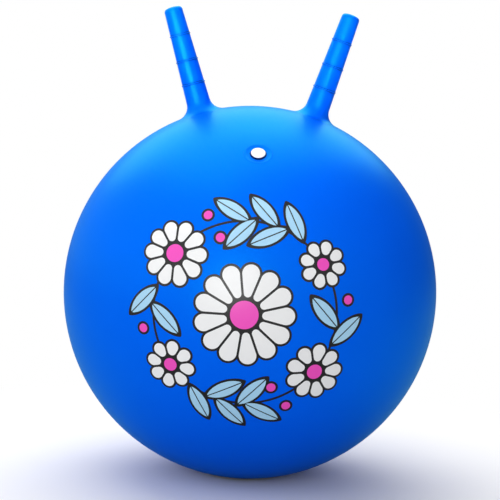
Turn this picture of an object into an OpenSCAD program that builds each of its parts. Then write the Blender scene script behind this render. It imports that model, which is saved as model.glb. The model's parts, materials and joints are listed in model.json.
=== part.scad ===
// Hopper ball: one blown skin of soft PVC with two hollow horn grips, a valve seat welded into
// its front, and a push-in plug. Millimetres, +Z up, the front towards -Y, and the origin on
// the ground under the ball's centre. The skin and its horns are a single moulding, drawn here
// as five solids, parted round the foot of each horn and under each horn's lowest ring, which
// are the ends of the stretch that bends when the horn is pulled.

/* [Ball] */
// Diameter of the blown-up ball
ball_d = 450; // [400:5:500]
// Wall of the ball's skin
skin_t = 1.2; // [0.8:0.1:2]
// Radius of the flat patch that the ball's own weight presses under it
patch_r = 24; // [16:1:36]
// Radius of the curve from the patch up into the round of the ball
patch_curve_r = 110; // [80:5:140]

/* [Horns] */
// Lean of each horn from upright, out to its own side
horn_lean = 17.6; // [14:0.1:24]
// Length of a horn from the ball's surface to its tip
horn_l = 130; // [120:1:150]
// Diameter of the horn's taper where it reaches the ball
horn_root_d = 29; // [27:0.2:34]
// Diameter of the horn's taper at the tip
horn_tip_d = 21.4; // [19:0.2:25]
// Wall of a horn
horn_t = 2.6; // [2:0.1:3.2]
// Radius of the sweep from the ball up into a horn
sweep_r = 16; // [12:0.5:20]
// Height of the lowest ring above the ball's surface
low_ring_h = 35.6; // [32:0.1:40]
// Distance from the lowest ring up to the middle one
middle_ring_step = 28.5; // [24:0.1:32]
// Distance from the middle ring up to the top one
top_ring_step = 31.5; // [26:0.1:34]
// Radius of the half-round bead that makes a ring
ring_bead_r = 0.8; // [0.4:0.1:1.2]
// Radius of the rounded edge at the tip
tip_edge_r = 4.5; // [3:0.1:6]
// Radius of the shallow dome that closes the tip
tip_dome_r = 30; // [22:1:60]
// Thickness of the closed tip
tip_t = 4; // [3:0.1:6]

/* [Valve seat] */
// Height of the valve round the front of the ball, in degrees above level
valve_rise = 50.5; // [40:0.5:60]
// Diameter of the seat where it fills the skin's hole
seat_d = 33; // [32:0.5:38]
// Diameter of the flange that is welded against the inside of the skin
flange_d = 46; // [42:1:56]
// Thickness of the flange
flange_t = 1.6; // [1:0.1:2.5]
// Gap that the weld fills between the seat and the skin
weld_gap = 0.05; // [0.02:0.01:0.1]
// Diameter of the dish round the plug
dish_d = 30; // [28:0.5:31]
// Width of the dish's sloping rim
dish_rim_w = 3; // [2:0.1:4]
// Depth of the dish below the round of the ball
dish_depth = 1.3; // [0.8:0.1:1.8]
// Diameter of the bore that takes the plug's stem
bore_d = 9; // [8:0.1:10]
// Outer diameter of the sleeve round the bore
sleeve_d = 13.6; // [12.6:0.1:14.4]
// Height by which the sleeve stands up out of the dish's floor, to carry the plug's head
sleeve_rise = 1.6; // [0.8:0.1:2]
// Length of the sleeve and of its bore
bore_l = 15; // [12:0.5:16]
// Width of the chamfer at the mouth of the bore
bore_chamfer_w = 0.5; // [0.2:0.1:1]

/* [Plug] */
// Diameter of the plug's head
head_d = 16.2; // [15:0.1:18]
// Height of the head at its middle
head_h = 1.8; // [1.6:0.1:3]
// Radius of the head's domed top
head_dome_r = 36; // [25:1:80]
// Radius of the head's rounded edge
head_edge_r = 0.4; // [0.2:0.05:0.5]
// Clearance all round between the stem and its bore
stem_clearance = 0.08; // [0.03:0.01:0.1]
// Length of the waist between the head and the first barb
waist_l = 4; // [3:0.1:5]
// Number of barbs along the stem
barbs = 3; // [2:1:4]
// Length of one barb
barb_l = 3.2; // [2.6:0.1:3.6]
// Depth of the step behind a barb
barb_step = 0.7; // [0.4:0.05:0.9]
// Length of the tapered nose past the barbs
nose_l = 3.4; // [2:0.1:5]
// Diameter at the end of the nose
nose_d = 5.6; // [5:0.1:6.4]
// Diameter of the hollow up the stem
hollow_d = 3.2; // [2.4:0.1:3.6]
// Plain length above the hollow, below the head
hollow_stop_l = 2; // [1:0.1:4]

/* [Hidden] */
$fn = 144;
// Length by which a cutter runs past what it cuts
overrun = 5;
// Depth by which an arc passes a line or arc that it would only touch, so that the two meet
bite = 0.002;
SKIN_BLUE = "#0a7cf2";
PLUG_WHITE = "#f6fbfd";

ball_r = ball_d / 2;
inner_r = ball_r - skin_t;
bore_r = bore_d / 2;
stem_r = bore_r - stem_clearance;
waist_r = stem_r - barb_step;
// Places along a horn's or the valve's axis are measured from the ball's centre
tip_h = ball_r + horn_l;
low_ring_at = ball_r + low_ring_h;
middle_ring_at = low_ring_at + middle_ring_step;
top_ring_at = middle_ring_at + top_ring_step;
foot_top_at = low_ring_at - 2 * ring_bead_r;
dish_floor_at = ball_r - dish_depth;
sleeve_top_at = dish_floor_at + sleeve_rise;
sleeve_end_at = sleeve_top_at - bore_l;

// Distance along a line, from its start, to where it is this far from the centre
function reach(start, way, centre, far) =
    let (q = start - centre, b = q * way) sqrt(b * b - q * q + far * far) - b;

// The curve at the foot of the ball touches both the patch and the round of the ball
curve_drop = sqrt(pow(ball_r - patch_curve_r, 2) - pow(patch_r, 2));
centre_z = patch_curve_r + curve_drop;
curve_centre = [patch_r, -curve_drop];
curve_way = curve_centre / norm(curve_centre);

// A horn's side in half section, the direction out of it, and how far out a side is at a height
horn_root = [horn_root_d / 2, ball_r];
horn_top = [horn_tip_d / 2, tip_h];
side_way = (horn_top - horn_root) / norm(horn_top - horn_root);
side_out = [side_way.y, -side_way.x];
bore_root = horn_root - side_out * horn_t;
function side_at(root, h) = root.x + (h - root.y) * side_way.x / side_way.y;

// The wall eases from the skin's to the horn's along the sweep
inner_sweep_r = sweep_r + (skin_t + horn_t) / 2;
function sweep_centre(root, r, sphere_r) =
    let (start = root + side_out * r) start + side_way * reach(start, side_way, [0, 0], sphere_r + r);
sweep_end = sweep_centre(horn_root, sweep_r, ball_r) * ball_r / (ball_r + sweep_r);
foot_edge_r = sweep_end.x + skin_t;

// The bore of a horn is cut from below its solid up to a half ball that is tip_t short of the tip
bore_start_at = foot_top_at - overrun;
bore_end_at = (tip_h - tip_t - bore_root * side_out) / (1 - side_out.y);
bore_end_r = tip_h - tip_t - bore_end_at;

// The dish's rim slopes up from its flat floor to the round of the ball, and the cut runs on past it
dish_floor_edge = [dish_d / 2 - dish_rim_w, dish_floor_at];
dish_top_edge = [dish_d / 2, sqrt(pow(ball_r, 2) - pow(dish_d / 2, 2))];
dish_cut_edge = 2 * dish_top_edge - dish_floor_edge;

module at_horn(side) {
    translate([0, 0, centre_z]) rotate([0, side * horn_lean, 0]) children();
}

module at_valve() {
    translate([0, 0, centre_z]) rotate([90 - valve_rise, 0, 0]) children();
}

// Half section of the ball, drawn in by the inset, about its centre
module ball_outline(inset) {
    intersection() {
        union() {
            difference() {
                circle(ball_r - inset);
                polygon([[0, 0], [0, -ball_d], curve_way * ball_d]);
            }
            translate(curve_centre) circle(patch_curve_r - inset + bite);
            translate([0, inset - centre_z]) square([patch_r, centre_z]);
        }
        translate([0, inset - centre_z]) square([ball_r, ball_d]);
    }
}

// Half section of a column on a ball, with the sweep between them, up to the height given
module swept_column(root, r, sphere_r, top_at) {
    centre = sweep_centre(root, r, sphere_r);
    difference() {
        polygon([[0, 0], centre, centre - side_out * r, [side_at(root, top_at), top_at], [0, top_at]]);
        translate(centre) circle(r + bite);
    }
    intersection() {
        circle(sphere_r);
        square([foot_edge_r, ball_d]);
    }
}

// Half section of a turned body whose straight side ends in a rounded edge and a shallow dome
module domed_column(base, top, edge_r, dome_r) {
    way = (top - base) / norm(top - base);
    out = [way.y, -way.x];
    dome_centre = [0, top.y - dome_r];
    start = base - out * edge_r;
    edge_centre = start + way * reach(start, way, dome_centre, dome_r - edge_r);
    dome_end = dome_centre + (edge_centre - dome_centre) * dome_r / (dome_r - edge_r);
    polygon([[0, base.y], base, edge_centre + out * edge_r, dome_end, [0, dome_end.y]]);
    translate(edge_centre) circle(edge_r + bite);
    intersection() {
        translate(dome_centre) circle(dome_r);
        translate([0, base.y]) square([dome_end.x, top.y - base.y]);
    }
}

// The ball, holed for the two horn feet and the valve seat
module ball_skin() color(SKIN_BLUE) difference() {
    translate([0, 0, centre_z]) rotate_extrude() difference() {
        ball_outline(0);
        ball_outline(skin_t);
    }
    for (side = [-1, 1])
        at_horn(side) cylinder(r = foot_edge_r, h = ball_r + overrun);
    at_valve() cylinder(d = seat_d, h = ball_r + overrun);
}

// The bending stretch of a horn: the sweep off the ball and the plain grip below the rings
module horn_foot(side) color(SKIN_BLUE) at_horn(side) rotate_extrude() {
    intersection() {
        difference() {
            swept_column(horn_root, sweep_r, ball_r, foot_top_at);
            swept_column(bore_root, inner_sweep_r, inner_r, foot_top_at + overrun);
        }
        translate([0, ball_r / 2]) square([foot_edge_r, foot_top_at - ball_r / 2]);
    }
}

// The firm stretch of a horn: a hollow taper with three raised rings and a closed tip
module horn(side) color(SKIN_BLUE) at_horn(side) rotate_extrude() {
    difference() {
        union() {
            domed_column([side_at(horn_root, foot_top_at), foot_top_at], horn_top, tip_edge_r, tip_dome_r);
            for (h = [low_ring_at, middle_ring_at, top_ring_at])
                translate([side_at(horn_root, h), h]) circle(ring_bead_r);
        }
        polygon([[0, bore_start_at], [side_at(bore_root, bore_start_at), bore_start_at],
                 [0, bore_end_at] + side_out * bore_end_r, [0, bore_end_at]]);
        translate([0, bore_end_at]) circle(bore_end_r + bite);
    }
}

module left_horn_foot() horn_foot(-1);
module right_horn_foot() horn_foot(1);
module left_horn() horn(-1);
module right_horn() horn(1);

// The dished seat in the skin: a welded flange, and a sleeve that grips the plug's stem and
// carries its head clear of the dish's floor
module valve_seat() color(SKIN_BLUE) at_valve() rotate_extrude() difference() {
    union() {
        difference() {
            union() {
                intersection() {
                    circle(ball_r);
                    square([seat_d / 2 - weld_gap, ball_r]);
                }
                intersection() {
                    circle(inner_r - weld_gap);
                    square([flange_d / 2, ball_r]);
                }
            }
            circle(inner_r - weld_gap - flange_t);
            polygon([[0, dish_floor_at], dish_floor_edge, dish_cut_edge, [0, dish_cut_edge.y]]);
        }
        translate([0, sleeve_end_at]) square([sleeve_d / 2, bore_l]);
    }
    translate([0, sleeve_end_at - overrun]) square([bore_r, bore_l + 2 * overrun]);
    polygon([[0, sleeve_top_at - bore_r - bore_chamfer_w], [bore_r + bore_chamfer_w, sleeve_top_at],
             [0, sleeve_top_at]]);
}

// The push-in plug: a low domed head on a hollow, barbed stem
module valve_plug() color(PLUG_WHITE) at_valve() rotate_extrude() difference() {
    translate([0, sleeve_top_at]) {
        domed_column([head_d / 2, 0], [head_d / 2, head_h], head_edge_r, head_dome_r);
        polygon(stem_points());
    }
    translate([0, sleeve_top_at - stem_l() - overrun])
        square([hollow_d / 2, stem_l() - hollow_stop_l + overrun]);
}

function barb_at(i) = -waist_l - i * barb_l;
function stem_l() = nose_l - barb_at(barbs);
function stem_points() = concat(
    [[0, -stem_l()], [nose_d / 2, -stem_l()], [waist_r, barb_at(barbs)]],
    [for (i = [barbs - 1 : -1 : 0]) each [[stem_r, barb_at(i)], [waist_r, barb_at(i)]]],
    [[waist_r, head_h / 2], [0, head_h / 2]]);

ball_skin();
left_horn_foot();
right_horn_foot();
left_horn();
right_horn();
valve_seat();
valve_plug();
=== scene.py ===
import json
import math

import bmesh
import bpy
from mathutils import Matrix, Vector


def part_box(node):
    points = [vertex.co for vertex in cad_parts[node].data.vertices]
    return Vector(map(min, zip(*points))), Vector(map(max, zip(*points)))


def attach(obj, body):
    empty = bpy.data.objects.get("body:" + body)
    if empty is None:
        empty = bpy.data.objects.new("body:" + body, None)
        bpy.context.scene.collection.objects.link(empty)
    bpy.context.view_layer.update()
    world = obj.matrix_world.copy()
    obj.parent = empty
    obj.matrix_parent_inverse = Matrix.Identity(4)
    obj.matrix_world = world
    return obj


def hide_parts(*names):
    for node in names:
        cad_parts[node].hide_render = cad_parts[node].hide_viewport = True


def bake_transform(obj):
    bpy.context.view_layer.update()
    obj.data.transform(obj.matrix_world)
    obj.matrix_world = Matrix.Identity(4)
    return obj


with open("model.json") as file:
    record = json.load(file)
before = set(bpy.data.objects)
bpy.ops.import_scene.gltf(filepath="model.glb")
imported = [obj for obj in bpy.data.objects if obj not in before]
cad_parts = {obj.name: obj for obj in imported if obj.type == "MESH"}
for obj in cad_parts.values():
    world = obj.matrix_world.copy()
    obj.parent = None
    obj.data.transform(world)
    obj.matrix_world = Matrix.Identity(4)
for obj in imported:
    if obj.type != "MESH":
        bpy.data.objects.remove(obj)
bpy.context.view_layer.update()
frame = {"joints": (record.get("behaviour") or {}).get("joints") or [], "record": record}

# The camera stands 2 m in front of the ball with a long lens, 7 degrees above the middle of the
# ball and a degree round to the left of it. It is tilted a little, so that the ball leans to
# the right in the picture.
CAMERA_DISTANCE = 2.0
CAMERA_RISE = math.radians(7)
CAMERA_ROUND = math.radians(1)
CAMERA_TILT = math.radians(2.5)
PICTURE_PIXELS = 500
FOCAL_PIXELS = 1645.4
BALL_BELOW_MIDDLE_PIXELS = 41.7
SENSOR_WIDTH = 36

_, skin_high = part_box("ball_skin")
ball_radius = skin_high.x
ball_centre = Vector((0, 0, skin_high.z - ball_radius))

aim_up = math.atan(BALL_BELOW_MIDDLE_PIXELS / FOCAL_PIXELS)
bpy.ops.object.camera_add()
camera = bpy.context.object
camera.name = "camera"
camera.data.sensor_width = SENSOR_WIDTH
camera.data.lens = SENSOR_WIDTH * FOCAL_PIXELS / PICTURE_PIXELS
stand = Vector((0, -math.cos(CAMERA_RISE), math.sin(CAMERA_RISE))) * CAMERA_DISTANCE
camera.matrix_world = (
    Matrix.Translation(ball_centre)
    @ Matrix.Rotation(-CAMERA_ROUND, 4, "Z")
    @ Matrix.Translation(stand)
    @ Matrix.Rotation(math.pi / 2 - CAMERA_RISE, 4, "X")
    @ Matrix.Rotation(CAMERA_TILT, 4, "Z")
    @ Matrix.Rotation(aim_up, 4, "X")
)
bpy.context.scene.camera = camera
bpy.context.scene.view_settings.view_transform = "Standard"


# The studio floor: matt white board, which keeps the ball's soft shadow and runs out into the
# white backdrop. It throws up and mirrors less light than it shows, as a small board in a dark
# studio does.
MM = 0.001
FLOOR_SIDE = 12.0
FADE_START = 0.25
FADE_END = 0.6
FLOOR_WHITE = "F4F4F4"
FLOOR_BOUNCE = "BCBCBC"
FLOOR_MIRRORED = "9C9C9C"
FLOOR_GAP = 0.1 * MM
WHITE_STRENGTH = 1.0


def hex_colour(code):
    """An sRGB hex colour as linear red, green, blue and alpha"""
    parts = [int(code[i:i + 2], 16) / 255 for i in (0, 2, 4)]
    return [*(p / 12.92 if p <= 0.04045 else ((p + 0.055) / 1.055) ** 2.4 for p in parts), 1]


def add_node(tree, kind, inputs=None, **settings):
    """A node with its settings, and for each input a value or the output that feeds it"""
    node = tree.nodes.new("ShaderNode" + kind)
    for name, value in settings.items():
        setattr(node, name, value)
    for name, value in (inputs or {}).items():
        if isinstance(value, bpy.types.NodeSocket):
            tree.links.new(value, node.inputs[name])
        else:
            node.inputs[name].default_value = value
    return node


def new_material(name):
    """An empty material and its node tree"""
    material = bpy.data.materials.new(name)
    material.use_nodes = True
    material.node_tree.nodes.clear()
    return material, material.node_tree


bpy.ops.mesh.primitive_plane_add(size=FLOOR_SIDE, location=(0, 0, -FLOOR_GAP))
floor = bpy.context.object
floor.name = "floor"
matt_board, tree = new_material("matt white board")
rays = add_node(tree, "LightPath")
shade = add_node(tree, "Mix", {0: rays.outputs["Is Diffuse Ray"]}, data_type="RGBA")
shade.inputs[6].default_value = hex_colour(FLOOR_WHITE)
shade.inputs[7].default_value = hex_colour(FLOOR_BOUNCE)
dimmed = add_node(tree, "Mix", {0: rays.outputs["Is Glossy Ray"]}, data_type="RGBA")
tree.links.new(shade.outputs[2], dimmed.inputs[6])
dimmed.inputs[7].default_value = hex_colour(FLOOR_MIRRORED)
board = add_node(tree, "BsdfDiffuse", {"Color": dimmed.outputs[2]})
backdrop = add_node(tree, "Emission", {"Strength": WHITE_STRENGTH})
surface = add_node(tree, "TexCoord")
from_ball = add_node(tree, "VectorMath", {0: surface.outputs["Object"]}, operation="LENGTH")
fade = add_node(tree, "MapRange", {
    "Value": from_ball.outputs["Value"],
    "From Min": FADE_START,
    "From Max": FADE_END,
    "To Max": rays.outputs["Is Camera Ray"],
}, interpolation_type="SMOOTHSTEP")
seen = add_node(tree, "MixShader", {0: fade.outputs[0], 1: board.outputs[0], 2: backdrop.outputs[0]})
add_node(tree, "OutputMaterial", {"Surface": seen.outputs[0]})
floor.data.materials.append(matt_board)


# The studio light: a white room that is brighter towards the front, the left and a little below,
# a softbox overhead, one in front, and a wide one behind that the ball's upper rim mirrors. A
# lamp with a narrow beam, low and far in front, draws the shine down the horns.
ROOM_DARK = 0.1
ROOM_BRIGHT = 1.16
ROOM_WHITE = hex_colour("FFFFFF")
BRIGHT_WAY = Vector((-0.65, -0.7, -0.25)).normalized()
OPEN_SPREAD = math.radians(180)
NARROW_SPREAD = math.radians(12)

world = bpy.data.worlds.new("white room")
bpy.context.scene.world = world
world.use_nodes = True
tree = world.node_tree
tree.nodes.clear()
rays = add_node(tree, "LightPath")
way = add_node(tree, "TexCoord")
towards_bright = add_node(tree, "VectorMath", {
    0: way.outputs["Generated"],
    1: BRIGHT_WAY,
}, operation="DOT_PRODUCT")
level = add_node(tree, "MapRange", {
    "Value": towards_bright.outputs["Value"],
    "From Min": -1,
    "To Min": ROOM_DARK,
    "To Max": ROOM_BRIGHT,
})
room = add_node(tree, "Background", {"Color": ROOM_WHITE, "Strength": level.outputs[0]})
backdrop = add_node(tree, "Background", {"Color": ROOM_WHITE, "Strength": WHITE_STRENGTH})
seen = add_node(tree, "MixShader", {
    0: rays.outputs["Is Camera Ray"],
    1: room.outputs[0],
    2: backdrop.outputs[0],
})
add_node(tree, "OutputWorld", {"Surface": seen.outputs[0]})


def add_lamp(name, place, target, wide, tall, watts, spread=OPEN_SPREAD):
    """A rectangular lamp that faces its target"""
    bpy.ops.object.light_add(type="AREA", location=place)
    lamp = bpy.context.object
    lamp.name = name
    lamp.data.shape = "RECTANGLE"
    lamp.data.size = wide
    lamp.data.size_y = tall
    lamp.data.spread = spread
    lamp.data.energy = watts
    lamp.rotation_euler = (Vector(place) - Vector(target)).to_track_quat("Z", "Y").to_euler()


add_lamp("softbox", place=(-0.2, 0.3, 2.3), target=(0, 0, 0.3), wide=2.4, tall=1.5, watts=18)
add_lamp("front softbox", place=(-0.5, -2.6, 0.7), target=(0, 0, 0.25), wide=0.9, tall=0.9, watts=13)
add_lamp("back softbox", place=(-0.15, 1.5, 1.8), target=(0, 0, 0.3), wide=3.2, tall=1.8, watts=36)
add_lamp(
    "horn lamp", place=(-0.7, -3.0, 0.22), target=(0, 0, 0.66), wide=1.1, tall=0.2, watts=1.9,
    spread=NARROW_SPREAD,
)


# The ball: a skin of soft PVC, 1.2 mm thick, blown in a mould of two halves that part in the plane
# of the horns, which leaves a fine raised line all round. Its own weight flattens it a little
# where it stands.
SKIN_THICKNESS = 1.2 * MM
BALL_CUTS = 63
PATCH_RADIUS = 24 * MM
PATCH_CURVE = 110 * MM
PARTING_WIDTH = 1.0 * MM
PARTING_HEIGHT = 0.12 * MM
PARTING_SEGMENTS = 2
TOUCHING = 0.01 * MM
SHARP_ANGLE = math.radians(35)


def work_on(piece, mode="OBJECT"):
    """Makes a piece the only one selected, so that an operator acts on nothing else"""
    if bpy.context.object and bpy.context.object.mode != "OBJECT":
        bpy.ops.object.mode_set(mode="OBJECT")
    bpy.ops.object.select_all(action="DESELECT")
    bpy.context.view_layer.objects.active = piece
    piece.select_set(True)
    bpy.ops.object.mode_set(mode=mode)


def select_edges(piece, passes):
    """In edit mode, selects the edges whose two ends pass a test of their place"""
    bpy.ops.mesh.select_mode(type="EDGE")
    bpy.ops.mesh.select_all(action="DESELECT")
    mesh = bmesh.from_edit_mesh(piece.data)
    for edge in mesh.edges:
        if all(passes(vertex.co) for vertex in edge.verts):
            edge.select_set(True)
    bmesh.update_edit_mesh(piece.data)


def apply_modifier(piece, kind, **settings):
    """Adds a modifier to a piece, sets it and applies it"""
    work_on(piece)
    bpy.ops.object.modifier_add(type=kind)
    modifier = piece.modifiers[-1]
    for name, value in settings.items():
        setattr(modifier, name, value)
    bpy.ops.object.modifier_apply(modifier=modifier.name)


def on_parting_plane(place):
    """Whether a place lies where the two halves of the mould part"""
    return abs(place.y) < TOUCHING


def rest_height(place):
    """How high the skin lies over the floor near the flat that the ball stands on"""
    past_patch = max(math.hypot(place.x, place.y) - PATCH_RADIUS, 0)
    return PATCH_CURVE - math.sqrt(PATCH_CURVE ** 2 - past_patch ** 2)


bpy.ops.mesh.primitive_cube_add(size=2 * ball_radius, location=ball_centre)
ball = bpy.context.object
ball.name = "ball"
work_on(ball, "EDIT")
bpy.ops.mesh.select_all(action="SELECT")
bpy.ops.mesh.subdivide(number_cuts=BALL_CUTS)
bpy.ops.transform.tosphere(value=1)
bpy.ops.object.mode_set(mode="OBJECT")
mean_radius = sum(vertex.co.length for vertex in ball.data.vertices) / len(ball.data.vertices)
swell = ball_radius / mean_radius
ball.scale = (swell, swell, swell)
bpy.ops.object.transform_apply()
work_on(ball, "EDIT")
select_edges(ball, on_parting_plane)
bpy.ops.mesh.bevel(offset=PARTING_WIDTH / 2, segments=PARTING_SEGMENTS, affect="EDGES")
select_edges(ball, on_parting_plane)
bpy.ops.transform.shrink_fatten(value=PARTING_HEIGHT)
bpy.ops.object.mode_set(mode="OBJECT")
patch_edge = PATCH_RADIUS * ball_radius / (ball_radius - PATCH_CURVE)
for vertex in ball.data.vertices:
    if vertex.co.z < PATCH_CURVE and math.hypot(vertex.co.x, vertex.co.y) < patch_edge:
        vertex.co.z = max(vertex.co.z, rest_height(vertex.co))
apply_modifier(ball, "SOLIDIFY", thickness=SKIN_THICKNESS, offset=-1)
bpy.ops.object.shade_smooth_by_angle(angle=SHARP_ANGLE)
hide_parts("ball_skin")
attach(ball, "ball")

# Soft PVC, pigmented deep blue and blown in a mould: a soft gloss with a faint clouding and a
# very slight orange peel. The plasticised surface is clear over the pigment and swallows red,
# so its highlights are cyan, and turn white only at the very edge. Fine creases, as beside
# the rings and under the plug's head, get painted shade: an ambient occlusion mask mixes their
# colour to a deep navy and lowers their highlight.
PVC_BLUE = "005AFF"
PVC_DEEPER_BLUE = "0055F8"
PVC_HIGHLIGHT = "00FFFF"
PVC_HIGHLIGHT_LEVEL = 0.5
PVC_IOR = 1.7
PVC_CLEAR_TINT = "00FFFF"
PVC_CLEAR_IOR = 1.06
PVC_CLEAR_WEIGHT = 1.0
PVC_CLEAR_ROUGHNESS = 0.36
CLOUDING = 60 * MM
ORANGE_PEEL = 2.5 * MM
ORANGE_PEEL_DEPTH = 0.004 * MM
PVC_ROUGHNESS = (0.38, 0.43)
# Painted shade: the deep navy that creases are darkened to
PVC_PAINTED_SHADE_BLUE = "001C60"
CREASE_REACH = 3.0 * MM
CREASE_OPEN = 0.97
CREASE_DARK = 0.82
CREASE_SAMPLES = 8

glossy_pvc, tree = new_material("glossy soft PVC")
surface = add_node(tree, "TexCoord")
clouds = add_node(tree, "TexNoise", {"Vector": surface.outputs["Object"], "Scale": 1 / CLOUDING})
tint = add_node(tree, "ValToRGB", {"Fac": clouds.outputs[0]})
tint.color_ramp.elements[0].color = hex_colour(PVC_DEEPER_BLUE)
tint.color_ramp.elements[1].color = hex_colour(PVC_BLUE)
gloss = add_node(tree, "MapRange", {
    "Value": clouds.outputs[0],
    "To Min": PVC_ROUGHNESS[0],
    "To Max": PVC_ROUGHNESS[1],
})
peel = add_node(tree, "TexNoise", {"Vector": surface.outputs["Object"], "Scale": 1 / ORANGE_PEEL})
relief = add_node(tree, "Bump", {"Height": peel.outputs[0], "Distance": ORANGE_PEEL_DEPTH})
# Painted shade: ambient occlusion finds the creases, and the colour there is mixed to the painted navy
shade_occlusion = add_node(tree, "AmbientOcclusion", {"Distance": CREASE_REACH}, samples=CREASE_SAMPLES)
unshaded_share = add_node(tree, "MapRange", {
    "Value": shade_occlusion.outputs["AO"],
    "From Min": CREASE_DARK,
    "From Max": CREASE_OPEN,
})
shade = add_node(tree, "Mix", {0: unshaded_share.outputs[0]}, data_type="RGBA")
shade.inputs[6].default_value = hex_colour(PVC_PAINTED_SHADE_BLUE)
tree.links.new(tint.outputs[0], shade.inputs[7])
# Painted shade on the gloss: the highlight is lowered in the same creases
shine = add_node(tree, "MapRange", {
    "Value": unshaded_share.outputs[0],
    "To Max": PVC_HIGHLIGHT_LEVEL,
})
pvc = add_node(tree, "BsdfPrincipled", {
    "Base Color": shade.outputs[2],
    "Specular IOR Level": shine.outputs[0],
    "Roughness": gloss.outputs[0],
    "Normal": relief.outputs[0],
    "IOR": PVC_IOR,
    "Specular Tint": hex_colour(PVC_HIGHLIGHT),
    "Coat Weight": PVC_CLEAR_WEIGHT,
    "Coat Roughness": PVC_CLEAR_ROUGHNESS,
    "Coat IOR": PVC_CLEAR_IOR,
    "Coat Tint": hex_colour(PVC_CLEAR_TINT),
})
add_node(tree, "OutputMaterial", {"Surface": pvc.outputs[0]})
ball.data.materials.append(glossy_pvc)


# The horns: two hollow grips blown with the ball, each a long taper with three raised rings, a
# rounded tip and a sweep down to the ball.
HORN_LENGTH = 130 * MM
HORN_ROOT_RADIUS = 14.5 * MM
HORN_TIP_RADIUS = 10.7 * MM
HORN_THICKNESS = 2.6 * MM
SWEEP_RADIUS = 16 * MM
RING_HEIGHTS = (35.6 * MM, 64.1 * MM, 95.6 * MM)
RING_BEAD_RADIUS = 0.8 * MM
TIP_EDGE_RADIUS = 4.5 * MM
TIP_DOME_RADIUS = 30 * MM
TIP_THICKNESS = 4 * MM
HORN_STEPS = 96
SWEEP_STEPS = 18
STRETCH_STEPS = 12
EDGE_STEPS = 10
BEAD_STEPS = 4
POLE = 0.002 * MM
HOLE_STEPS = 192
BEND_END = 34 * MM


def along(start, end, steps):
    """Points along a straight line"""
    return [start.lerp(end, i / steps) for i in range(steps + 1)]


def arc(centre, start, end, steps):
    """Points the short way round an arc, from its start to its end"""
    spoke = start - centre
    last = end - centre
    turn = math.atan2(spoke.x * last.y - spoke.y * last.x, spoke.dot(last))
    return [centre + Matrix.Rotation(turn * i / steps, 2) @ spoke for i in range(steps + 1)]


def on_sphere(radius, across):
    """The point of a sphere about the origin that is this far from its upright axis"""
    return Vector((across, math.sqrt(radius ** 2 - across ** 2)))


def reach(start, way, centre, far):
    """How far along a way, from its start, a point is this far from the centre"""
    from_centre = start - centre
    along_way = from_centre.dot(way)
    return math.sqrt(along_way ** 2 - from_centre.length_squared + far ** 2) - along_way


def domed_end(base, way, edge_radius, top, dome_radius):
    """The end of a turned body's outline: a rounded edge, then a shallow dome up to the axis"""
    out = Vector((way.y, -way.x))
    dome_centre = top - Vector((0, dome_radius))
    start = base - out * edge_radius
    edge_centre = start + way * reach(start, way, dome_centre, dome_radius - edge_radius)
    dome_end = dome_centre + (edge_centre - dome_centre).normalized() * dome_radius
    edge = arc(edge_centre, edge_centre + out * edge_radius, dome_end, EDGE_STEPS)
    return [*edge, *arc(dome_centre, dome_end, top, EDGE_STEPS)[1:]]


def join(name, parts):
    """Joins parts into one piece"""
    work_on(parts[0])
    for part in parts:
        part.select_set(True)
    if len(parts) > 1:
        bpy.ops.object.join()
    parts[0].name = name
    return parts[0]


def turned(name, outlines, steps):
    """A body of revolution about Z: along each half section, a circle extruded point by point"""
    strips = []
    for outline in outlines:
        bpy.ops.mesh.primitive_circle_add(vertices=steps, radius=max(outline[0].x, POLE))
        strips.append(bpy.context.object)
        work_on(strips[-1], "EDIT")
        bpy.ops.mesh.select_all(action="SELECT")
        bpy.ops.transform.translate(value=(0, 0, outline[0].y))
        for last, point in zip(outline, outline[1:]):
            rise = (0, 0, point.y - last.y)
            grow = max(point.x, POLE) / max(last.x, POLE)
            bpy.ops.mesh.extrude_region_move(TRANSFORM_OT_translate={"value": rise})
            bpy.ops.transform.resize(value=(grow, grow, 1))
        bpy.ops.object.mode_set(mode="OBJECT")
    piece = join(name, strips)
    work_on(piece, "EDIT")
    bpy.ops.mesh.select_all(action="SELECT")
    bpy.ops.mesh.remove_doubles(threshold=2 * POLE)
    bpy.ops.mesh.normals_make_consistent(inside=False)
    bpy.ops.object.mode_set(mode="OBJECT")
    bpy.ops.object.shade_smooth_by_angle(angle=SHARP_ANGLE)
    return piece


def put(piece, matrix):
    """Moves a piece that was made at the origin to its place, which its mesh then holds"""
    work_on(piece)
    piece.matrix_world = matrix
    bpy.ops.object.transform_apply()


def cut_round_hole(piece, matrix, radius):
    """Cuts a round hole out through a wall of the ball, along the Z axis of a place in it"""
    bpy.ops.mesh.primitive_cylinder_add(vertices=HOLE_STEPS, radius=radius, depth=ball_radius)
    cutter = bpy.context.object
    put(cutter, matrix @ Matrix.Translation((0, 0, ball_radius)))
    apply_modifier(piece, "BOOLEAN", operation="DIFFERENCE", solver="EXACT", object=cutter)
    bpy.data.objects.remove(cutter)


horn_root = Vector((HORN_ROOT_RADIUS, ball_radius))
horn_top = Vector((HORN_TIP_RADIUS, ball_radius + HORN_LENGTH))
side_way = (horn_top - horn_root).normalized()
side_out = Vector((side_way.y, -side_way.x))
bore_root = horn_root - side_out * HORN_THICKNESS
inner_radius = ball_radius - SKIN_THICKNESS


def side_at(root, height):
    """The point of a horn's straight side at a height over the ball"""
    return root + side_way * ((ball_radius + height - root.y) / side_way.y)


def sweep(root, radius, sphere_radius):
    """The arc that leaves a sphere and runs up into a horn's straight side"""
    start = root + side_out * radius
    centre = start + side_way * reach(start, side_way, Vector((0, 0)), sphere_radius + radius)
    touch = centre * sphere_radius / (sphere_radius + radius)
    return arc(centre, touch, centre - side_out * radius, SWEEP_STEPS)


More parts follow.
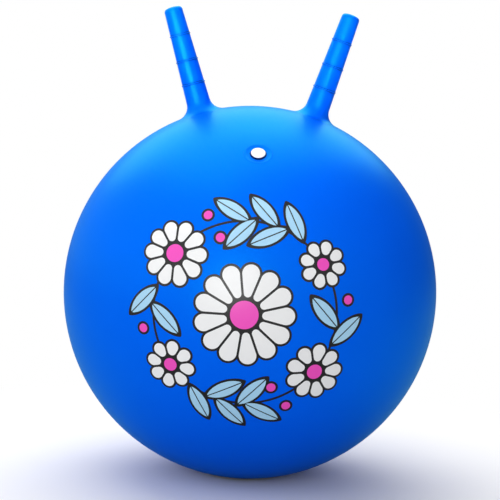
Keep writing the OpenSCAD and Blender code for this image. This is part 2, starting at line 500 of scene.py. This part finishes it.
def bead(height):
    """The half-round outline of a ring"""
    middle = side_at(horn_root, height)
    crest = middle + side_out * RING_BEAD_RADIUS
    lower = arc(middle, middle - side_way * RING_BEAD_RADIUS, crest, BEAD_STEPS)
    upper = arc(middle, crest, middle + side_way * RING_BEAD_RADIUS, BEAD_STEPS)
    return [*lower, *upper[1:]]


outer_sweep = sweep(horn_root, SWEEP_RADIUS, ball_radius)
inner_sweep = sweep(bore_root, SWEEP_RADIUS + (SKIN_THICKNESS + HORN_THICKNESS) / 2, inner_radius)
foot_radius = outer_sweep[0].x + SKIN_THICKNESS
first_ring_foot = side_at(horn_root, RING_HEIGHTS[0] - RING_BEAD_RADIUS)
stretch = along(outer_sweep[-1], first_ring_foot, STRETCH_STEPS)
tip_end = Vector((0, horn_top.y))
outside = [
    on_sphere(ball_radius, foot_radius + TOUCHING),
    *outer_sweep,
    *stretch[1:-1],
    *(point for height in RING_HEIGHTS for point in bead(height)),
    *domed_end(horn_root, side_way, TIP_EDGE_RADIUS, tip_end, TIP_DOME_RADIUS),
]
bore_top = horn_top.y - TIP_THICKNESS
bore_end = Vector((0, (bore_top - bore_root.dot(side_out)) / (1 - side_out.y)))
bore_end_radius = bore_top - bore_end.y
inside = [
    on_sphere(ball_radius, foot_radius + TOUCHING),
    on_sphere(inner_radius, foot_radius + TOUCHING),
    *inner_sweep,
    *along(inner_sweep[-1], side_at(bore_root, BEND_END), STRETCH_STEPS)[1:],
    *arc(bore_end, bore_end + side_out * bore_end_radius, Vector((0, bore_top)), EDGE_STEPS),
]
right_horn = turned("right_horn_grip", [outside, inside], HORN_STEPS)
work_on(right_horn, "EDIT")
select_edges(right_horn, on_parting_plane)
bpy.ops.transform.shrink_fatten(value=PARTING_HEIGHT)
bpy.ops.object.mode_set(mode="OBJECT")
right_horn.data.materials.append(glossy_pvc)
bpy.ops.object.duplicate()
left_horn = bpy.context.object
left_horn.name = "left_horn_grip"

mounts = {mount["name"]: mount for mount in frame["record"]["mounts"]}
grip_axis = Vector(mounts["right_grip"]["axis"])
horn_lean = math.atan2(grip_axis.x, grip_axis.z)
for horn, side, lean in ((left_horn, "left", -horn_lean), (right_horn, "right", horn_lean)):
    at_horn = Matrix.Translation(ball_centre) @ Matrix.Rotation(lean, 4, "Y")
    cut_round_hole(ball, at_horn, foot_radius)
    put(horn, at_horn)
    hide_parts(side + "_horn_foot", side + "_horn")
    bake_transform(horn)


# The valve seat: a turned dish of stiffer PVC, welded into the skin by the flange under it. The
# sleeve through its middle grips the plug's stem, and stands up a little to carry its head.
SEAT_RADIUS = 16.45 * MM
FLANGE_RADIUS = 23 * MM
FLANGE_THICKNESS = 1.6 * MM
WELD_GAP = 0.05 * MM
DISH_RADIUS = 15 * MM
DISH_RIM_WIDTH = 3 * MM
DISH_DEPTH = 1.3 * MM
DISH_ROUNDING = 1.5 * MM
SLEEVE_RADIUS = 6.8 * MM
SLEEVE_RISE = 1.6 * MM
BORE_RADIUS = 4.5 * MM
BORE_CHAMFER = 0.5 * MM
BORE_LENGTH = 15 * MM
FINE_ROUNDING = 0.2 * MM
SEAT_STEPS = 96
FILLET_STEPS = 4
NEARLY_STRAIGHT = math.radians(89)


def filleted(corners):
    """An outline through corners given as a point and the radius that rounds it off"""
    outline = []
    for (before, _), (corner, radius), (after, _) in zip(corners, corners[1:], corners[2:]):
        back = (before - corner).normalized()
        on = (after - corner).normalized()
        half_angle = back.angle(on) / 2
        if radius and half_angle < NEARLY_STRAIGHT:
            trim = radius / math.tan(half_angle)
            centre = corner + (back + on).normalized() * radius / math.sin(half_angle)
            outline += arc(centre, corner + back * trim, corner + on * trim, FILLET_STEPS)
        else:
            outline.append(corner)
    return outline


dish_floor = ball_radius - DISH_DEPTH
sleeve_top = dish_floor + SLEEVE_RISE
sleeve_end = sleeve_top - BORE_LENGTH
flange_top = inner_radius - WELD_GAP
flange_bottom = flange_top - FLANGE_THICKNESS
sleeve_root = on_sphere(flange_bottom, SLEEVE_RADIUS)
dish_top = on_sphere(ball_radius, DISH_RADIUS)
corners = [
    (Vector((SLEEVE_RADIUS, sleeve_end)), 0),
    (sleeve_root, 0),
    (on_sphere(flange_bottom, FLANGE_RADIUS), FINE_ROUNDING),
    (on_sphere(flange_top, FLANGE_RADIUS), FINE_ROUNDING),
    (on_sphere(flange_top, SEAT_RADIUS), 0),
    (on_sphere(ball_radius, SEAT_RADIUS), FINE_ROUNDING),
    (dish_top, DISH_ROUNDING),
    (Vector((DISH_RADIUS - DISH_RIM_WIDTH, dish_floor)), DISH_ROUNDING),
    (Vector((SLEEVE_RADIUS, dish_floor)), FINE_ROUNDING),
    (Vector((SLEEVE_RADIUS, sleeve_top)), FINE_ROUNDING),
    (Vector((BORE_RADIUS + BORE_CHAMFER, sleeve_top)), 0),
    (Vector((BORE_RADIUS, sleeve_top - BORE_CHAMFER)), 0),
    (Vector((BORE_RADIUS, sleeve_end)), 0),
    (Vector((SLEEVE_RADIUS, sleeve_end)), 0),
    (sleeve_root, 0),
]
outline = filleted(corners)
seat = turned("seat", [[*outline, outline[0]]], SEAT_STEPS)
joints = {joint["name"]: joint for joint in frame["joints"]}
plug_axis = Vector(joints["plug_pull"]["axis"])
valve_lean = math.atan2(-plug_axis.y, plug_axis.z)
at_valve = Matrix.Translation(ball_centre) @ Matrix.Rotation(valve_lean, 4, "X")
cut_round_hole(ball, at_valve, SEAT_RADIUS + WELD_GAP)
put(seat, at_valve)
seat.data.materials.append(glossy_pvc)
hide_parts("valve_seat")
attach(seat, "ball")


# The valve plug: moulded in one piece of white polyethylene, with a low domed head to pull it by
# and three barbs on a hollow stem, which bite into the seat's bore.
HEAD_RADIUS = 8.1 * MM
HEAD_HEIGHT = 1.8 * MM
HEAD_DOME_RADIUS = 36 * MM
HEAD_EDGE_RADIUS = 0.4 * MM
STEM_RADIUS = 4.42 * MM
BARB_STEP = 0.7 * MM
BARB_LENGTH = 3.2 * MM
BARBS = 3
WAIST_LENGTH = 4 * MM
NOSE_LENGTH = 3.4 * MM
NOSE_RADIUS = 2.8 * MM
HOLLOW_RADIUS = 1.6 * MM
HOLLOW_STOP = 2 * MM
PLUG_STEPS = 64

waist_radius = STEM_RADIUS - BARB_STEP
barb_ends = [sleeve_top - WAIST_LENGTH - BARB_LENGTH * i for i in range(BARBS + 1)]
stem_end = barb_ends[-1] - NOSE_LENGTH
stem = [Vector((waist_radius, sleeve_top))]
for shoulder, end in zip(barb_ends, barb_ends[1:]):
    stem += [
        Vector((waist_radius, shoulder)),
        Vector((STEM_RADIUS, shoulder)),
        Vector((waist_radius, end)),
    ]
head_foot = Vector((HEAD_RADIUS, sleeve_top))
head_top = Vector((0, sleeve_top + HEAD_HEIGHT))
head = [
    head_foot,
    *domed_end(head_foot, Vector((0, 1)), HEAD_EDGE_RADIUS, head_top, HEAD_DOME_RADIUS),
]
outline = [
    *reversed(head),
    *stem,
    Vector((NOSE_RADIUS, stem_end)),
    Vector((HOLLOW_RADIUS, stem_end)),
    Vector((HOLLOW_RADIUS, sleeve_top - HOLLOW_STOP)),
    Vector((0, sleeve_top - HOLLOW_STOP)),
]
plug = turned("plug_head_and_stem", [outline], PLUG_STEPS)
put(plug, at_valve)
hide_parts("valve_plug")
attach(plug, "plug")

# Low-density polyethylene, injection moulded: a waxy white with a soft sheen, through which a
# little light passes, so its edges look slightly softer than paint.
POLYETHYLENE_WHITE = "F4F8FA"
POLYETHYLENE_IOR = 1.51
POLYETHYLENE_ROUGHNESS = (0.32, 0.42)
POLYETHYLENE_GLOW = 0.15
POLYETHYLENE_GLOW_DEPTH = 1 * MM
MOULDED_GRAIN = 0.8 * MM
MOULDED_GRAIN_DEPTH = 0.003 * MM

polyethylene, tree = new_material("waxy white polyethylene")
surface = add_node(tree, "TexCoord")
grain = add_node(tree, "TexNoise", {"Vector": surface.outputs["Object"], "Scale": 1 / MOULDED_GRAIN})
relief = add_node(tree, "Bump", {"Height": grain.outputs[0], "Distance": MOULDED_GRAIN_DEPTH})
sheen = add_node(tree, "MapRange", {
    "Value": grain.outputs[0],
    "To Min": POLYETHYLENE_ROUGHNESS[0],
    "To Max": POLYETHYLENE_ROUGHNESS[1],
})
wax = add_node(tree, "BsdfPrincipled", {
    "Base Color": hex_colour(POLYETHYLENE_WHITE),
    "Roughness": sheen.outputs[0],
    "Normal": relief.outputs[0],
    "IOR": POLYETHYLENE_IOR,
    "Subsurface Weight": POLYETHYLENE_GLOW,
    "Subsurface Scale": POLYETHYLENE_GLOW_DEPTH,
})
add_node(tree, "OutputMaterial", {"Surface": wax.outputs[0]})
plug.data.materials.append(polyethylene)


# The print on the front: a wreath of daisies, leaves and berries round one large daisy, in four
# screen-printed vinyl inks, each a film a few hundredths of a millimetre thick. The black ink
# goes on first, and shows between the petals and round them as a drawn line.
INK_LINE = 2.6 * MM
INK_FILM = 0.05 * MM
INK_GRID = 5 * MM
CENTRE_SHARE = 0.29
WREATH_CENTRE = Vector((-9 * MM, 2 * MM))
WREATH_RADIUS = 104 * MM
# A daisy's direction from the wreath's centre in degrees, how far out it lies, its radius and
# its number of petals
LARGE_DAISY = (0, 0, 58 * MM, 13)
WREATH_DAISIES = (
    (34, WREATH_RADIUS, 29 * MM, 8),
    (142, WREATH_RADIUS, 40 * MM, 10),
    (218, WREATH_RADIUS, 31 * MM, 8),
    (322, WREATH_RADIUS, 35 * MM, 9),
)
# The directions in degrees that each stretch of vine runs between
VINES = ((48, 124), (161, 204), (231, 306), (338, 384))
LEAF_LENGTH = 44 * MM
LEAF_WIDTH = 17 * MM
LEAF_LEAN = 40
# The direction in degrees of each leaf and berry, and 1 outside the vine or -1 inside it
LEAVES = (
    (55, 1), (64, -1), (73, 1), (84, -1), (91, 1), (168, 1), (176, -1),
    (238, 1), (247, -1), (256, 1), (267, -1), (274, 1), (344, 1), (352, -1),
)
BERRIES = ((110, -1), (113, 1), (192, 1), (292, -1), (296, 1), (369, 1))
BERRY_RADIUS = 5.2 * MM
BERRY_STALK = 15 * MM
GROUND_STEPS_PER_PETAL = 20
PETAL_STEPS = 40
MIDDLE_STEPS = 48
VINE_STEPS = 40
LEAF_STEPS = 48
BERRY_GROUND_STEPS = 40
BERRY_STEPS = 32


def flat_disc(radius, steps):
    """A filled circle at the origin, facing up"""
    bpy.ops.mesh.primitive_circle_add(vertices=steps, radius=radius, fill_type="NGON")
    return bpy.context.object


def set_down(shape, angle, out, turn=0):
    """Moves a flat shape this far out from the wreath's centre, and turns it, in degrees"""
    way = Matrix.Rotation(math.radians(angle), 4, "Z")
    spin = Matrix.Rotation(math.radians(turn), 4, "Z")
    put(shape, Matrix.Translation((*WREATH_CENTRE, 0)) @ way @ Matrix.Translation((out, 0, 0)) @ spin)
    return shape


def daisy_ground(size, petals):
    """The black shape under a daisy: its petals' round ends run together, with a notch between two"""
    share = math.sin(math.pi / petals)
    petal_reach = (size - INK_LINE / 2) / (1 + share)
    end_radius = petal_reach * share + INK_LINE / 2
    ground = flat_disc(size, petals * GROUND_STEPS_PER_PETAL)
    for vertex in ground.data.vertices:
        angle = math.atan2(vertex.co.y, vertex.co.x)
        petals_round = angle * petals / math.tau
        off_petal = (petals_round - round(petals_round)) * math.tau / petals
        sideways = petal_reach * math.sin(off_petal)
        far = petal_reach * math.cos(off_petal) + math.sqrt(end_radius ** 2 - sideways ** 2)
        vertex.co = Vector((math.cos(angle), math.sin(angle), 0)) * far
    return ground


def daisy_petals(size, petals):
    """A ring of petals, each a taper with round ends, copied round the middle"""
    share = math.sin(math.pi / petals)
    end_reach = (size - INK_LINE / 2) / (1 + share)
    root_reach = (size * CENTRE_SHARE + INK_LINE / 2) / (1 - share)
    end_radius = end_reach * share - INK_LINE / 2
    root_radius = root_reach * share - INK_LINE / 2
    petal = flat_disc(end_radius, PETAL_STEPS)
    for vertex in petal.data.vertices:
        if abs(math.atan2(vertex.co.y, vertex.co.x)) < math.pi / 2 + math.pi / petals:
            vertex.co.x += end_reach
        else:
            vertex.co = vertex.co * root_radius / end_radius + Vector((root_reach, 0, 0))
    work_on(petal, "EDIT")
    bpy.ops.mesh.select_all(action="SELECT")
    bpy.ops.mesh.spin(
        steps=petals - 1, dupli=True, angle=math.tau * (petals - 1) / petals,
        center=(0, 0, 0), axis=(0, 0, 1),
    )
    bpy.ops.object.mode_set(mode="OBJECT")
    return petal


def vine(start, end):
    """A stretch of the wreath's vine between two directions, in degrees, as a narrow band"""
    bpy.ops.mesh.primitive_grid_add(x_subdivisions=VINE_STEPS, y_subdivisions=1, size=1)
    band = bpy.context.object
    for vertex in band.data.vertices:
        angle = math.radians(start + (end - start) * (0.5 - vertex.co.x))
        radius = WREATH_RADIUS + vertex.co.y * INK_LINE
        vertex.co = Vector((math.cos(angle), math.sin(angle), 0)) * radius
    return band


def leaf(length, width):
    """A leaf's outline, pointed at both ends"""
    shape = flat_disc(1, LEAF_STEPS)
    for vertex in shape.data.vertices:
        vertex.co.y *= math.sqrt(abs(vertex.co.y)) * width
        vertex.co.x *= length
    return shape


def leaf_halves(length, width):
    """A leaf in two halves, with the width of half a line between them for its rib"""
    halves = leaf(length, width)
    work_on(halves, "EDIT")
    bpy.ops.mesh.select_all(action="SELECT")
    bpy.ops.mesh.bisect(plane_co=(0, INK_LINE / 4, 0), plane_no=(0, 1, 0), clear_inner=True)
    bpy.ops.mesh.select_all(action="SELECT")
    bpy.ops.mesh.spin(steps=1, dupli=True, angle=math.pi, center=(0, 0, 0), axis=(0, 0, 1))
    bpy.ops.object.mode_set(mode="OBJECT")
    return halves


def on_front(place, height):
    """Where a point of the flat drawing lies round the ball's front, this high over the skin"""
    far = math.hypot(place.x, place.y)
    spread = math.sin(far / ball_radius) / far if far else 1 / ball_radius
    way = Vector((place.x * spread, -math.cos(far / ball_radius), place.y * spread))
    return ball_centre + way * (ball_radius + height)


def lay_ink(name, shapes, layer, ink):
    """Lays the flat shapes of one ink round the ball's front as one thin film"""
    film = join(name, shapes)
    work_on(film, "EDIT")
    bpy.ops.mesh.select_all(action="SELECT")
    bpy.ops.mesh.quads_convert_to_tris()
    for side in (Vector((1, 0, 0)), Vector((0, 1, 0))):
        reaches = [corner.dot(side) for corner in map(Vector, film.bound_box)]
        for line in range(math.ceil(min(reaches) / INK_GRID), math.ceil(max(reaches) / INK_GRID)):
            bpy.ops.mesh.select_all(action="SELECT")
            bpy.ops.mesh.bisect(plane_co=side * line * INK_GRID, plane_no=side)
    bpy.ops.object.mode_set(mode="OBJECT")
    for vertex in film.data.vertices:
        vertex.co = on_front(vertex.co, layer * INK_FILM)
    apply_modifier(film, "SOLIDIFY", thickness=INK_FILM, offset=-1)
    bpy.ops.object.shade_smooth_by_angle(angle=SHARP_ANGLE)
    film.data.materials.append(ink)
    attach(film, "ball")


# Vinyl ink, screen printed: even, with the faint pitch of the screen's mesh, and a slightly
# sharper gloss than the skin's.
SCREEN_PITCH = 0.5 * MM
SCREEN_DEPTH = 0.002 * MM
INK_IOR = 1.5
INK_ROUGHNESS = (0.3, 0.4)
INK_BLACK = "141416"
INK_WHITE = "F6F7F8"
INK_PINK = "F84CC4"
INK_PALE_BLUE = "ACDCFA"


def vinyl_ink(name, colour):
    """A screen-printed vinyl ink of one colour"""
    ink, tree = new_material(name)
    surface = add_node(tree, "TexCoord")
    pitch = add_node(tree, "TexNoise", {"Vector": surface.outputs["Object"], "Scale": 1 / SCREEN_PITCH})
    relief = add_node(tree, "Bump", {"Height": pitch.outputs[0], "Distance": SCREEN_DEPTH})
    evenness = add_node(tree, "MapRange", {
        "Value": pitch.outputs[0],
        "To Min": INK_ROUGHNESS[0],
        "To Max": INK_ROUGHNESS[1],
    })
    film = add_node(tree, "BsdfPrincipled", {
        "Base Color": hex_colour(colour),
        "Roughness": evenness.outputs[0],
        "Normal": relief.outputs[0],
        "IOR": INK_IOR,
    })
    add_node(tree, "OutputMaterial", {"Surface": film.outputs[0]})
    return ink


black_shapes = []
white_shapes = []
pink_shapes = []
pale_blue_shapes = []
for angle, out, size, petals in (LARGE_DAISY, *WREATH_DAISIES):
    black_shapes.append(set_down(daisy_ground(size, petals), angle, out))
    white_shapes.append(set_down(daisy_petals(size, petals), angle, out))
    middle = flat_disc(size * CENTRE_SHARE - INK_LINE / 2, MIDDLE_STEPS)
    pink_shapes.append(set_down(middle, angle, out))
for start, end in VINES:
    black_shapes.append(set_down(vine(start, end), 0, 0))
for angle, side in LEAVES:
    lean = math.radians(LEAF_LEAN)
    out = WREATH_RADIUS + side * LEAF_LENGTH / 2 * math.sin(lean)
    ahead = LEAF_LENGTH / 2 * math.cos(lean)
    leaf_angle = angle + math.degrees(ahead / out)
    turn = 90 - side * LEAF_LEAN
    ground = leaf(LEAF_LENGTH / 2 + 2 * INK_LINE, LEAF_WIDTH / 2 + INK_LINE)
    black_shapes.append(set_down(ground, leaf_angle, out, turn))
    halves = leaf_halves(LEAF_LENGTH / 2, LEAF_WIDTH / 2)
    pale_blue_shapes.append(set_down(halves, leaf_angle, out, turn))
for angle, side in BERRIES:
    out = WREATH_RADIUS + side * BERRY_STALK
    ground = flat_disc(BERRY_RADIUS + INK_LINE, BERRY_GROUND_STEPS)
    black_shapes.append(set_down(ground, angle, out))
    pink_shapes.append(set_down(flat_disc(BERRY_RADIUS, BERRY_STEPS), angle, out))
black_ink = vinyl_ink("black vinyl ink", INK_BLACK)
white_ink = vinyl_ink("white vinyl ink", INK_WHITE)
pink_ink = vinyl_ink("pink vinyl ink", INK_PINK)
pale_blue_ink = vinyl_ink("pale blue vinyl ink", INK_PALE_BLUE)
lay_ink("print_black", black_shapes, 1, black_ink)
lay_ink("print_white", white_shapes, 2, white_ink)
lay_ink("print_pink", pink_shapes, 2, pink_ink)
lay_ink("print_pale_blue", pale_blue_shapes, 2, pale_blue_ink)
